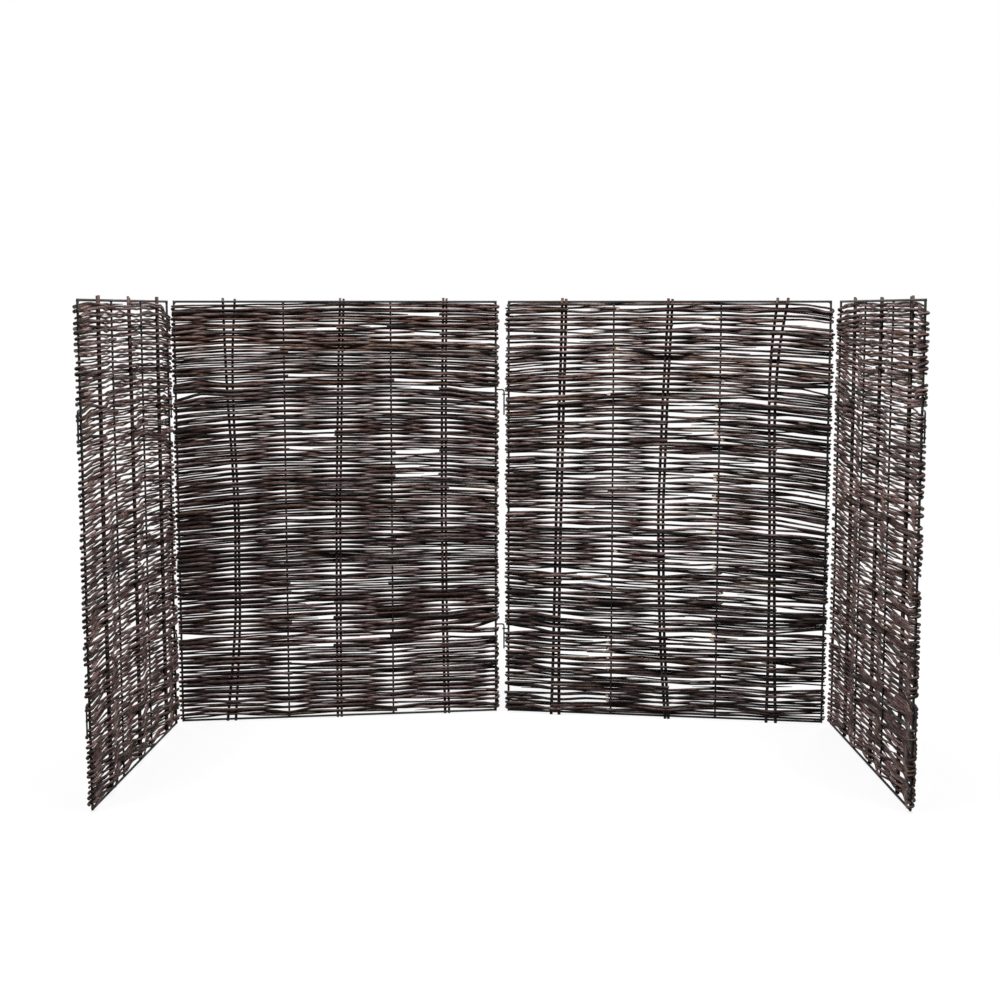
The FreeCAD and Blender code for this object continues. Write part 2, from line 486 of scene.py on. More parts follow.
def willow_end_grain(name, fibres):
    """Cut willow: fibres that stand out of the sapwood, from dull dark ones to pale ones."""
    made, tree = new_material(name)
    place = node(tree, "ShaderNodeTexCoord").outputs["Object"]
    # fibre ends 0.8 mm apart
    fibre = node(
        tree,
        "ShaderNodeTexNoise",
        {"Vector": place, "Scale": 1250.0, "Detail": 2.0, "Roughness": 0.6},
    ).outputs["Fac"]
    colour = node(tree, "ShaderNodeValToRGB", {"Fac": fibre}, fibres).outputs["Color"]
    relief = node(tree, "ShaderNodeBump", {"Height": fibre, "Strength": 0.4, "Distance": 0.0004})
    shader = node(
        tree,
        "ShaderNodeBsdfPrincipled",
        {"Base Color": colour, "Roughness": 0.8, "Normal": relief.outputs["Normal"]},
    )
    node(tree, "ShaderNodeOutputMaterial", {"Surface": shader.outputs["BSDF"]})
    return made


def dark_steel(name, coat, worn, grit):
    """Mild steel rod with a dark coat: satin, a little uneven, with brown bloom where it has worn."""
    made, tree = new_material(name)
    place = node(tree, "ShaderNodeTexCoord").outputs["Object"]
    # worn patches about 25 mm long
    bloom = node(
        tree,
        "ShaderNodeTexNoise",
        {"Vector": place, "Scale": 40.0, "Detail": 5.0, "Roughness": 0.65},
    ).outputs["Fac"]
    # grit is given in grains a metre
    fine = node(
        tree,
        "ShaderNodeTexNoise",
        {"Vector": place, "Scale": grit, "Detail": 2.0, "Roughness": 0.5},
    ).outputs["Fac"]
    colour = node(
        tree,
        "ShaderNodeValToRGB",
        {"Fac": bloom},
        [(0.35, coat), (0.58, coat), (0.72, worn)],
    ).outputs["Color"]
    rough = node(
        tree,
        "ShaderNodeMapRange",
        {"Value": bloom, "From Min": 0.35, "From Max": 0.7, "To Min": 0.42, "To Max": 0.68},
    ).outputs["Result"]
    relief = node(tree, "ShaderNodeBump", {"Height": fine, "Strength": 0.3, "Distance": 0.0003})
    shader = node(
        tree,
        "ShaderNodeBsdfPrincipled",
        {
            "Base Color": colour,
            "Roughness": rough,
            "Normal": relief.outputs["Normal"],
            "Specular IOR Level": 0.22,
        },
    )
    node(tree, "ShaderNodeOutputMaterial", {"Surface": shader.outputs["BSDF"]})
    return made


BARK = willow_bark(
    "willow_rod_bark",
    [
        (0.0, "#242121"),
        (0.155, "#463938"),
        (0.35, "#6f5a57"),
        (BROWN_TONES[1], "#a38985"),
        (GREY_TONES[0], "#383635"),
        (GREY_TONES[1], "#847d79"),
        (RED_TONES[0], "#49362f"),
        (RED_TONES[1], "#76584c"),
        (TAN_TONES[0], "#4c3f36"),
        (TAN_TONES[1], "#86715f"),
    ],
    "#998582",
)
STAKE_BARK = willow_bark(
    "willow_stake_bark",
    [(0.0, "#403431"), (0.5, "#5b4945"), (1.0, "#765f5a")],
    "#7f6c68",
)
FRESH_CUT = willow_end_grain(
    "willow_fresh_cut",
    [(0.3, "#ac9279"), (0.55, "#d2bba2"), (0.75, "#e4d3bf")],
)
WEATHERED_CUT = willow_end_grain(
    "willow_weathered_cut",
    [(0.3, "#3a322d"), (0.55, "#554a42"), (0.75, "#6e6056")],
)
# the coat's grit is 0.4 mm apart on rods, and 1.1 mm on the rougher welds
FRAME_STEEL = dark_steel("coated_steel_rod", "#1d1c1d", "#40332b", 2500.0)
WELD_STEEL = dark_steel("coated_weld_bead", "#211f1f", "#4c3a2f", 900.0)
HINGE_STEEL = dark_steel("coated_steel_hook", "#201e1f", "#483b32", 2500.0)


def panel_place(name):
    """Matrix from a panel's own millimetres to the row frame, and the panel's width."""
    middles = []
    for edge in ("left", "right"):
        low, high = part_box(f"{name}_{edge}_rod")
        middles.append((Vector(low) + Vector(high)) / 2)
    run = middles[1] - middles[0]
    u = run.normalized()
    v = Vector((0, 0, 1)).cross(u)
    turn = Matrix((u, v, (0, 0, 1))).transposed().to_4x4()
    start = Matrix.Translation((middles[0].x, middles[0].y, 0))
    return start @ turn @ Matrix.Scale(0.001, 4), run.length * 1000


def finished_mesh(bm, name):
    """The mesh that a bmesh has become."""
    mesh = bpy.data.meshes.new(name)
    bm.to_mesh(mesh)
    bm.free()
    return mesh


def add_piece(mesh, name, body, nodes, materials):
    """Put a finished mesh in the scene, on its body and in place of its CAD nodes."""
    made = bpy.data.objects.new(name, mesh)
    bpy.context.scene.collection.objects.link(made)
    for material in materials:
        mesh.materials.append(material)
    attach(made, body)
    if nodes:
        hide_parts(*nodes)


def tubes(paths, sides, steps, kind="BEZIER"):
    """Round rods along paths of (u, v, z, radius) points, as one mesh in rings along each path."""
    line = bpy.data.curves.new("line", "CURVE")
    line.dimensions = "3D"
    line.bevel_depth = 1.0
    # a round bevel has four sides, and two more for each step of its resolution
    line.bevel_resolution = (sides - 4) // 2
    line.resolution_u = steps
    for path in paths:
        spline = line.splines.new(kind)
        points = spline.bezier_points if kind == "BEZIER" else spline.points
        points.add(len(path) - 1)
        for point, (u, v, z, radius) in zip(points, path):
            point.co = (u, v, z) if kind == "BEZIER" else (u, v, z, 1)
            point.radius = radius
            if kind == "BEZIER":
                point.handle_left_type = "AUTO"
                point.handle_right_type = "AUTO"
    holder = bpy.data.objects.new("line", line)
    bpy.context.scene.collection.objects.link(holder)
    mesh = bpy.data.meshes.new_from_object(holder.evaluated_get(bpy.context.evaluated_depsgraph_get()))
    bpy.data.objects.remove(holder)
    bpy.data.curves.remove(line)
    while mesh.uv_layers:
        mesh.uv_layers.remove(mesh.uv_layers[0])
    return mesh


def cut_ends(mesh, cap):
    """Close the open ends with flat faces that take material number cap."""
    bm = bmesh.new()
    bm.from_mesh(mesh)
    rims = [edge for edge in bm.edges if edge.is_boundary]
    for face in bm.faces:
        face.smooth = True
        face.material_index = 0
    for face in bmesh.ops.holes_fill(bm, edges=rims, sides=0)["faces"]:
        face.smooth = False
        face.material_index = cap
    bmesh.ops.recalc_face_normals(bm, faces=bm.faces)
    bm.to_mesh(mesh)
    bm.free()
    return mesh


def bark_attributes(mesh, paths, sides, steps, tones, slants):
    """Give each rod its tone and its straightened bark coordinates, and cut its ends at a slant."""
    points = np.empty(len(mesh.vertices) * 3)
    mesh.vertices.foreach_get("co", points)
    points = points.reshape(-1, 3)
    place = np.empty_like(points)
    tone = np.empty(len(points))
    angles = np.arange(sides) * 2 * math.pi / sides
    first = 0
    for number, path in enumerate(paths):
        rings = (len(path) - 1) * steps + 1
        part = points[first : first + rings * sides].reshape(rings, sides, 3)
        middles = part.mean(1)
        lengths = np.linalg.norm(np.diff(middles, axis=0), axis=1)
        along = np.concatenate([[0], np.cumsum(lengths)]) / 1000 + number * BARK_SHIFT
        radius = np.linalg.norm(part - middles[:, None], axis=2) / 1000
        own = place[first : first + rings * sides].reshape(rings, sides, 3)
        own[:, :, 0] = along[:, None]
        own[:, :, 1] = radius * np.cos(angles)
        own[:, :, 2] = radius * np.sin(angles)
        ring_tones = np.interp(np.arange(rings) / steps, np.arange(len(path)), tones[number])
        tone[first : first + rings * sides] = np.repeat(ring_tones, sides)
        for ring, inner, slant in ((0, 1, slants[number][0]), (-1, -2, slants[number][1])):
            out = middles[ring] - middles[inner]
            out /= np.linalg.norm(out)
            part[ring] += np.outer((part[ring] - middles[ring]) @ np.array(slant), out)
        first += rings * sides
    mesh.vertices.foreach_set("co", points.ravel())
    mesh.attributes.new("bark_place", "FLOAT_VECTOR", "POINT").data.foreach_set("vector", place.ravel())
    mesh.attributes.new("bark_tone", "FLOAT", "POINT").data.foreach_set("value", tone)


def settle(wanted, gaps, weights):
    """Heights nearest to the wanted ones in which each next one is at least its gap higher."""
    offsets = np.concatenate([[0], np.cumsum(gaps)])
    blocks = []
    for value, weight in zip(np.array(wanted) - offsets, weights):
        blocks.append([value, weight, 1])
        while len(blocks) > 1 and blocks[-2][0] > blocks[-1][0]:
            value, weight, count = blocks.pop()
            other = blocks[-1]
            other[0] = (other[0] * other[1] + value * weight) / (other[1] + weight)
            other[1] += weight
            other[2] += count
    heights = np.concatenate([np.full(count, value) for value, weight, count in blocks])
    return heights + offsets


def upright_list(width, plan):
    """The uprights that the rods pass, from left to right."""
    span = width / BAYS
    stake_depth = plan["side"] * (FRAME_RADIUS + STAKE_RADIUS)
    made = []
    for k in range(BAYS + 1):
        if k in STAKE_UPRIGHTS:
            made.append(Upright(span * k, stake_depth, STAKE_RADIUS, plan["half"]))
        else:
            radius = INNER_ROD_RADIUS if k in INNER_UPRIGHTS else FRAME_RADIUS
            made.append(Upright(span * k, 0.0, radius, 0.0))
    return made


def rod_face(rod, k):
    """-1 where the rod passes in front of upright k, 1 where it passes behind."""
    return rod["face"] if k % 2 == 0 else -rod["face"]


def rod_tone(plan, row, bundle, rng):
    """Place of a rod on the range of bark colours: mostly brown near the tone of its bundle, or grey,
    reddish or tan, with most of the red rods near the top."""
    chance = rng.random() - plan["red"] * 2 * row / plan["rows"]
    if chance < 0:
        return rng.uniform(*RED_TONES)
    if chance < GREY_SHARE:
        return rng.uniform(*GREY_TONES)
    if chance < GREY_SHARE + TAN_SHARE:
        return rng.uniform(*TAN_TONES)
    darkest, palest = BROWN_TONES
    return min(max(bundle + rng.uniform(-TONE_SPREAD, TONE_SPREAD), darkest), palest)


def lay_rods(plan, rng):
    """Choose every rod of a panel: its row, where it starts and ends, the face it begins on, its taper,
    and the group of rods that it lies close to at the uprights. Thick ends are cut off in front."""
    rods = []
    group, size, place = -1, 0, 0
    bundle = rng.uniform(*plan["bundle_tones_and_painted_light"])
    for row in range(plan["rows"]):
        if rng.random() < NEW_BUNDLE:
            bundle = rng.uniform(*plan["bundle_tones_and_painted_light"])
        place += 1
        if place >= size:
            group, place = group + 1, 0
            size = rng.choices(GROUP_SIZES, GROUP_WEIGHTS)[0]
        face = 1 if row % 2 else -1
        runs = [(0, BAYS, face, None, None)]
        chance = rng.random()
        for bay, share in enumerate(plan["open_bays"]):
            if 0 <= chance < share:
                butt_left = rod_face({"face": face}, bay) < 0
                runs = [
                    (0, bay, face, None, "butt" if butt_left else "tip"),
                    (bay + 1, BAYS, face, "tip" if butt_left else "butt", None),
                ]
            chance -= share
        if 0 <= chance < plan["joined"]:
            k = rng.choice(JOIN_UPRIGHTS)
            butt_left = rod_face({"face": face}, k) < 0
            runs = [
                (0, k, face, None, "butt" if butt_left else "tail"),
                (k, BAYS, -face, "tail" if butt_left else "butt", None),
            ]
        for first, last, start_face, start_cut, end_cut in runs:
            if last == first:
                continue
            mean = plan["rod"] * rng.uniform(*ROD_THICKNESS)
            butt = mean * rng.uniform(*BUTT_THICKNESS)
            tip = mean * rng.uniform(*TIP_THICKNESS)
            butt_first = rng.random() < 0.5
            if start_cut:
                butt_first = start_cut == "butt"
            if end_cut:
                butt_first = end_cut != "butt"
            # the right-hand rod of a row sorts just after the left-hand one
            rods.append(
                {
                    "row": row + 0.1 * (first > 0),
                    "group": (group, size, place),
                    "first": first,
                    "last": last,
                    "cuts": (start_cut, end_cut),
                    "face": start_face,
                    "radius": (butt, tip) if butt_first else (tip, butt),
                    "tone": rod_tone(plan, row, bundle, rng),
                    "swell": plan["swell"],
                    "z": {},
                }
            )
    return rods


def rod_radius(rod, column):
    """Radius at a column; columns are the uprights and the middles of the bays between them."""
    part = (column / 2 - rod["first"]) / (rod["last"] - rod["first"])
    swell = 1 + rod["swell"] * max(0.0, 1 - min(column, 2 * BAYS - column))
    return (rod["radius"][0] + (rod["radius"][1] - rod["radius"][0]) * part) * swell


def hung_height(plan, z, column):
    """Where a rod at height z really lies in a column, as the weave sags and draws in at the edges."""
    near = (max(0.0, 1 - column / SAG_REACH), max(0.0, 1 - (2 * BAYS - column) / SAG_REACH))
    # the higher the power, the closer to the edge it is felt
    drops = [np.interp(z, SAG_HEIGHTS, (0, *values, 0)) for values in plan["sag"]]
    sag = sum(drop * part**2 for drop, part in zip(drops, near))
    draw = sum(reach * part**6 for reach, part in zip(plan["corner"], near))
    z -= draw * max(0.0, 1 - (WEAVE_HIGH - z) / CORNER_DEPTH) + sag
    arch = plan["lift"] * (1.0 if column % 2 else ARCH_AT_UPRIGHT) * (1 - max(near) ** 4)
    return z + arch * max(0.0, 1 - (z - WEAVE_LOW) / ARCH_DEPTH)


def group_sway(groups, columns, rng):
    """How far each group of rods strays up at every column, smooth over groups and columns."""
    near = SWAY_NEIGHBOURS
    sway = np.array([[rng.gauss(0, 1) for c in range(columns)] for group in range(groups + near)])
    sway = sum(sway[shift : shift + groups] for shift in range(near)) / math.sqrt(near)
    sway[:, 1:-1] = (sway[:, :-2] + 2 * sway[:, 1:-1] + sway[:, 2:]) / 3
    return SWAY * sway


def least_gap(one, two, at_upright):
    """Least height between the middles of two neighbours in a column."""
    touch = one.radius + two.radius
    if not at_upright:
        return touch * REST_TOUCH
    if not (one.face and two.face) or one.face == two.face:
        return touch
    group, size, place = one.rod["group"]
    if group != two.rod["group"][0]:
        return touch * STRANGER_TOUCH
    return touch * (PAIR_TOUCH if size == 2 else TRIPLE_TOUCH)


def stack_rods(plan, rods, rng):
    """Find each rod's height at every column: rods rest on each other between uprights, and draw
    together in groups at the uprights, which opens gaps there."""
    room = WEAVE_HIGH - WEAVE_LOW
    pitch = room / plan["rows"]
    columns = 2 * BAYS + 1
    groups = rods[-1]["group"][0] + 1
    sway = group_sway(groups, columns, rng)
    overlap = [[rng.uniform(*plan["overlap"]) for c in range(columns)] for group in range(groups)]
    for column in range(columns):
        at_upright = column % 2 == 0
        at_edge = column in (0, columns - 1)
        laid = [Laid(None, WEAVE_LOW, 0.0, RAIL_WEIGHT, None)]
        for rod in sorted(rods, key=lambda rod: rod["row"]):
            if not 2 * rod["first"] <= column <= 2 * rod["last"]:
                continue
            group, size, place = rod["group"]
            rank = place - (size - 1) / 2
            centre = hung_height(plan, WEAVE_LOW + pitch * (int(rod["row"]) - rank + 0.5), column)
            spacing = pitch
            if at_upright:
                spacing *= rng.uniform(*EDGE_SPACING) if at_edge else overlap[group][column]
            wanted = centre + sway[group][column] + rank * spacing
            face = rod_face(rod, column // 2) if at_upright else 0
            laid.append(Laid(rod, wanted, rod_radius(rod, column), 1.0, face))
        laid.append(Laid(None, WEAVE_HIGH, 0.0, RAIL_WEIGHT, None))
        side = "left" if column < BAYS else "right"
        has_hooks = side in plan["hooks"]
        has_eyes = plan["eyes"] and side == "left"
        if column in (0, 1, columns - 2, columns - 1) and (has_hooks or has_eyes):
            for arm in HOOK_HEIGHTS:
                height = arm if has_hooks else arm - EYE_BELOW_ARM
                at = next(n for n, thing in enumerate(laid) if thing.wanted > height)
                reach = HOOK_ROOM if at_edge else HOOK_ROOM_BESIDE
                laid.insert(at, Laid(None, height, reach, HOOK_WEIGHT, None))
        gaps = [least_gap(one, two, at_upright) for one, two in zip(laid, laid[1:])]
        needed = sum(gaps)
        if needed > room:
            gaps = [gap * room / needed for gap in gaps]
        heights = settle([thing.wanted for thing in laid], gaps, [thing.weight for thing in laid])
        for thing, height in zip(laid, heights):
            if thing.rod:
                thing.rod["z"][column] = height


def strayed(plan, k, z):
    """How far stake pair k stands to the right of its place at height z."""
    if k not in STAKE_UPRIGHTS:
        return 0.0
    return np.interp(z, WANDER_HEIGHTS, plan["wander"][STAKE_UPRIGHTS.index(k)])


def seat(rod, uprights, k):
    """Depth and radius of a rod where it lies against upright k."""
    upright = uprights[k]
    radius = min(rod_radius(rod, 2 * k), TIGHTEST_BEND_RADIUS)
    return upright.v + rod_face(rod, k) * (upright.radius + radius + SEAT_CLEARANCE), radius


def rod_path(rod, uprights, plan, rng):
    """Control points of one rod from left to right, without its ends."""
    path = []
    for k in range(rod["first"], rod["last"] + 1):
        half = uprights[k].half
        depth, radius = seat(rod, uprights, k)
        z = rod["z"][2 * k]
        u = uprights[k].u + strayed(plan, k, z)
        for shift in (-half, half) if half else (0,):
            path.append((u + shift, depth, z, radius))
        if k == rod["last"]:
            break
        start = u + half
        following = uprights[k + 1]
        next_depth = seat(rod, uprights, k + 1)[0]
        next_z = rod["z"][2 * k + 2]
        end = following.u - following.half + strayed(plan, k + 1, next_z)
        middle = rod["z"][2 * k + 1]
        quarters = [height + (middle - height) * plan["close"] for height in (z, next_z)]
        crook = plan["crook"]
        for part, height in ((0.25, quarters[0]), (0.5, middle), (0.75, quarters[1])):
            path.append(
                (
                    start + (end - start) * part,
                    depth + (next_depth - depth) * part + crook * rng.uniform(*CROOK_RANGE),
                    height + crook * rng.uniform(*CROOK_RANGE),
                    rod_radius(rod, 2 * k + 2 * part) * rng.uniform(*UNEVEN_THICKNESS),
                )
            )
    return path


def free_end(path, outward, cut, rng):
    """Points past the last upright: a short stub at an edge, a blunt butt, or a tip that thins out."""
    u, v, z, radius = path[0] if outward < 0 else path[-1]
    beside = path[1] if outward < 0 else path[-2]
    if cut in ("tip", "tail"):
        reach = rng.uniform(*(TIP_REACH if cut == "tip" else TAIL_REACH))
        lean = -v / TIP_CROSSING
        drift = rng.uniform(*TIP_DRIFT)
        points = []
        for part, thin in TIP_TAPER:
            run = reach * part
            points.append((u + outward * run, v + lean * run, z + drift * run, radius * thin))
        return points
    reach = rng.uniform(*STUB_REACH)
    if cut:
        past_pair = abs(beside[1] - v) < 0.01
        reach = rng.uniform(*(PAIR_BUTT_REACH if past_pair else BUTT_REACH))
    rise = (z - beside[2]) / max(20.0, abs(u - beside[0]))
    end_z = z + rise * reach + rng.uniform(*END_STRAY)
    return [(u + outward * reach, END_DEPTH * v, end_z, radius)]


def turn_round(one, two, outward):
    """Points that take a rod round an edge rod, from the end of one row to the start of the next."""
    u = one[0]
    points = []
    turn_radius = min((one[3] + two[3]) / 2, TIGHTEST_TURN_RADIUS)
    for part in (0.25, 0.5, 0.75):
        swing = math.pi * part
        depth = one[1] * (1 + math.cos(swing)) / 2 + two[1] * (1 - math.cos(swing)) / 2
        reach = (FRAME_RADIUS + turn_radius) * math.sin(swing)
        z = one[2] + (two[2] - one[2]) * part
        points.append((u + outward * reach, depth, z, turn_radius))
    return points


def link_rods(plan, rods, rng):
    """Choose which rods of neighbouring rows turn into each other round the left and right edge rods."""
    for rod in rods:
        rod["links"] = {}
    for one, two in zip(rods, rods[1:]):
        outward = -1 if int(one["row"]) % 2 else 1
        k = 0 if outward < 0 else BAYS
        if any(not rod["first"] <= k <= rod["last"] or outward in rod["links"] for rod in (one, two)):
            continue
        low, high = one["z"][2 * k], two["z"][2 * k]
        hung = any(
            arm - HOOK_DROP - HOOK_CLEARANCE < low < arm + HOOK_CLEARANCE for arm in HOOK_HEIGHTS
        )
        apart = high - low > TURN_REACH or rod_face(one, k) == rod_face(two, k)
        if apart or rng.random() > plan["wrapped"]:
            continue
        if not (hung and outward < 0 and plan["eyes"]):
            one["links"][outward] = two
            two["links"][outward] = one


def woven_paths(plan, width, rng):
    """Every rod of a panel as a path, with the tones of its points and the slants of its two cuts."""
    uprights = upright_list(width, plan)
    rods = lay_rods(plan, rng)
    stack_rods(plan, rods, rng)
    link_rods(plan, rods, rng)
    for rod in rods:
        rod["path"] = rod_path(rod, uprights, plan, rng)
        rod["used"] = False
    paths, tones, slants = [], [], []
    for rod in rods:
        if rod["used"] or len(rod["links"]) > 1:
            continue
        outward = 1 if 1 in rod["links"] else -1
        path = free_end(rod["path"], -outward, rod["cuts"][0 if outward > 0 else 1], rng)[::-1]
        tone = [rod["tone"]] * len(path)
        while not rod["used"]:
            rod["used"] = True
            part = rod["path"][::outward]
            if rod["links"].get(outward):
                following = rod["links"][outward]
                part = part + turn_round(part[-1], following["path"][::-outward][0], outward)
            else:
                following = rod
                part = part + free_end(rod["path"], outward, rod["cuts"][1 if outward > 0 else 0], rng)
            path = path + part
            tone = tone + [rod["tone"]] * len(part)
            rod = following
            outward = -outward
        paths.append(path)
        tones.append(tone)
        ends = []
        for at in (path[0], path[-1]):
            if at[1] < 0:
                slope = plan["slant"] * rng.uniform(*FRONT_CUT)
            else:
                slope = -rng.uniform(*REAR_CUT)
            ends.append((0.0, slope, rng.uniform(*TILTED_CUT)))
        slants.append(ends)
    return paths, tones, slants


def weave(name, plan, place, width):
    """All willow rods of one panel."""
    rng = random.Random(plan["seed"])
    paths, tones, slants = woven_paths(plan, width, rng)
    mesh = tubes(paths, ROD_SIDES, ROD_STEPS)
    bark_attributes(mesh, paths, ROD_SIDES, ROD_STEPS, tones, slants)
    cut_ends(mesh, 1)
    # cuts past the edge rods are weathered on every panel
    for face in mesh.polygons:
        if face.material_index == 1 and not 0 < face.center.x < width:
            face.material_index = 2
    mesh.transform(place)
    inner_cut = FRESH_CUT if plan["fresh"] else WEATHERED_CUT
    materials = [BARK, inner_cut, WEATHERED_CUT]
    add_piece(mesh, f"{name}_willow_rods", name, [f"{name}_weave"], materials)


def stakes(name, plan, place, width):
    """Three pairs of upright stakes, each a little crooked, cut off just above the top rail."""
    rng = random.Random(plan["seed"] + STAKE_SEED)
    span = width / BAYS
    middle = STAKE_POINTS / 2
    for number, k in enumerate(STAKE_UPRIGHTS, 1):
        paths = []
        top_spread, mid_spread, foot_spread = plan["spread"][number - 1]
        radii = [rng.uniform(*limits) * plan["slim"] for limits in STAKE_RADII]
        for side, radius in zip((-1, 1), radii):
            v = plan["side"] * (FRAME_RADIUS + radius)
            path = []
            top = STAKE_TOP - rng.uniform(*STAKE_CUT)
            for step in range(STAKE_POINTS + 1):
                z = plan["foot"] + (top - plan["foot"]) * step / STAKE_POINTS
                end_spread = top_spread if step > middle else foot_spread
                opening = abs(step / middle - 1) ** STAKE_OPENING
                spread = mid_spread + (end_spread - mid_spread) * opening
                u = span * k + strayed(plan, k, z) + side * spread + rng.uniform(*STAKE_CROOK)
                thickness = STAKE_FOOT_THICKNESS - STAKE_TAPER * step / STAKE_POINTS
                path.append((u, v, z, radius * thickness))
            paths.append(path)
        mesh = tubes(paths, STAKE_SIDES, STAKE_STEPS)
        tones = [[rng.random()] * len(path) for path in paths]
        square_cuts = [((0, 0, 0), (0, 0, 0))] * len(paths)
        bark_attributes(mesh, paths, STAKE_SIDES, STAKE_STEPS, tones, square_cuts)
        cut_ends(mesh, 1)
        mesh.transform(place)
        piece = f"{name}_willow_stakes_{number}"
        nodes = [f"{name}_stakes_{number}"]
        add_piece(mesh, piece, name, nodes, [STAKE_BARK, WEATHERED_CUT])


def round_rods(rods):
    """Straight steel rods with softly rounded ends, from (start, end, radius) of each."""
    bm = bmesh.new()
    for start, end, radius in rods:
        run = Vector(end) - Vector(start)
        middle = Matrix.Translation((Vector(start) + Vector(end)) / 2)
        turn = Vector((0, 0, 1)).rotation_difference(run).to_matrix().to_4x4()
        bmesh.ops.create_cone(
            bm,
            cap_ends=True,
            segments=STEEL_SIDES,
            radius1=radius,
            radius2=radius,
            depth=run.length,
            matrix=middle @ turn,
        )
    rims = [edge for edge in bm.edges if any(len(face.verts) > 4 for face in edge.link_faces)]
    bmesh.ops.bevel(
        bm,
        geom=rims,
        offset=END_ROUNDING,
        segments=2,
        profile=0.5,
        affect="EDGES",
        material=-1,
    )
    for face in bm.faces:
        face.smooth = len(face.verts) == 4
    return bm


def steel_frame(name, place, width):
    """Edge rods, rails and inner rods, each in place of its CAD node."""
    span = width / BAYS
    low, high = RAIL_LOW - FRAME_RADIUS, RAIL_HIGH + FRAME_RADIUS
    start, end = RAIL_INSET, width - RAIL_INSET
    inner_low, inner_high = RAIL_LOW + RAIL_INSET, RAIL_HIGH - RAIL_INSET
    runs = {
        "left_rod": [((0, 0, low), (0, 0, high), FRAME_RADIUS)],
        "right_rod": [((width, 0, low), (width, 0, high), FRAME_RADIUS)],
        "bottom_rail": [((start, 0, RAIL_LOW), (end, 0, RAIL_LOW), FRAME_RADIUS)],
        "top_rail": [((start, 0, RAIL_HIGH), (end, 0, RAIL_HIGH), FRAME_RADIUS)],
        "inner_rods": [
            ((span * k, 0, inner_low), (span * k, 0, inner_high), INNER_ROD_RADIUS)
            for k in INNER_UPRIGHTS
        ],
    }
    for key, rods in runs.items():
        bm = round_rods(rods)
        bmesh.ops.transform(bm, matrix=place, verts=bm.verts)
        piece = f"{name}_{key}_steel"
        mesh = finished_mesh(bm, piece)
        add_piece(mesh, piece, name, [f"{name}_{key}"], [FRAME_STEEL])


def weld_beads(name, plan, place, width):
    """Lumpy beads where rails, inner rods and hook arms are welded on."""
    span = width / BAYS
    across, up = CORNER_BEAD_SHIFT
    spots = []
    for u in (across, width - across):
        spots += [(u, z, CORNER_BEAD) for z in (RAIL_LOW + up, RAIL_HIGH - up)]
    for k in INNER_UPRIGHTS:
        heights = (RAIL_LOW + INNER_BEAD_SHIFT, RAIL_HIGH - INNER_BEAD_SHIFT)
        spots += [(span * k, z, INNER_BEAD) for z in heights]
    for edge in plan["hooks"]:
        u = -HOOK_BEAD_SHIFT if edge == "left" else width + HOOK_BEAD_SHIFT
        spots += [(u, z, HOOK_BEAD) for z in HOOK_HEIGHTS]
    if plan["eyes"]:
        spots += [(-EYE_BEAD_SHIFT, z - EYE_BELOW_ARM, EYE_BEAD) for z in HOOK_HEIGHTS]
    bm = bmesh.new()
    for number, (u, z, size) in enumerate(spots):
        made = bmesh.ops.create_icosphere(bm, subdivisions=3, radius=size)
        start = Vector((number * LUMP_SHIFT, plan["seed"], 0))
        for vert in made["verts"]:
            lump = noise.noise(vert.co * LUMPS_PER_MM + start)
            vert.co *= 1 + LUMP_HEIGHT * lump
            vert.co.y *= BEAD_FLATNESS
            vert.co += Vector((u, 0, z))
    for face in bm.faces:
        face.smooth = True
    bmesh.ops.transform(bm, matrix=place, verts=bm.verts)
    piece = f"{name}_weld_beads"
    add_piece(finished_mesh(bm, piece), piece, name, [], [WELD_STEEL])


def hooks(name, edge, place, width):
    """Two bent rods: an arm from the edge rod, a bend, and a pin that hangs down."""
    u, outward = (0, -1) if edge == "left" else (width, 1)
    paths = []
    for height in HOOK_HEIGHTS:
        pin_u = u + outward * HOOK_REACH
        path = [(u + outward * HOOK_ROOT, 0, height, HOOK_RADIUS)]
        for step in range(BEND_STEPS + 1):
            swing = math.radians(90 - 90 * step / BEND_STEPS)
            across = HOOK_BEND * (1 - math.cos(swing))
            drop = HOOK_BEND * (1 - math.sin(swing))
            path.append((pin_u - outward * across, 0, height - drop, HOOK_RADIUS))
        foot = height - HOOK_DROP
        for lift, part in PIN_END:
            path.append((pin_u, 0, foot + lift, HOOK_RADIUS * part))
        paths.append(path)
    mesh = cut_ends(tubes(paths, STEEL_SIDES, 1, "POLY"), 0)
    mesh.transform(place)
    piece = f"{name}_{edge}_bent_hooks"
    add_piece(mesh, piece, name, [f"{name}_{edge}_hooks"], [HINGE_STEEL])


def eyes(name, place):
    """Two wire rings welded to the left edge rod, which the next panel's pins drop into."""
    paths = []
    for height in HOOK_HEIGHTS:
        z = height - EYE_BELOW_ARM
        path = [(-u, EYE_TAIL, z, EYE_WIRE) for u in (HOOK_ROOT, EYE_NECK)]
        for step in range(EYE_STEPS + 1):
            swing = math.radians(EYE_MOUTH + (360 - 2 * EYE_MOUTH) * step / EYE_STEPS)
            u = -EYE_REACH + EYE_RING * math.cos(swing)
            path.append((u, EYE_RING * math.sin(swing), z, EYE_WIRE))
        path += [(-u, -EYE_TAIL, z, EYE_WIRE) for u in (EYE_NECK, HOOK_ROOT)]
        paths.append(path)
    mesh = cut_ends(tubes(paths, EYE_SIDES, 1, "POLY"), 0)
    mesh.transform(place)
    add_piece(mesh, f"{name}_wire_eyes", name, [f"{name}_eyes"], [HINGE_STEEL])


for panel, plan in PANELS.items():
    place, width = panel_place(panel)
    weave(panel, plan, place, width)
    stakes(panel, plan, place, width)
    steel_frame(panel, place, width)
    weld_beads(panel, plan, place, width)
    for edge in plan["hooks"]:
        hooks(panel, edge, place, width)
    if plan["eyes"]:
        eyes(panel, place)


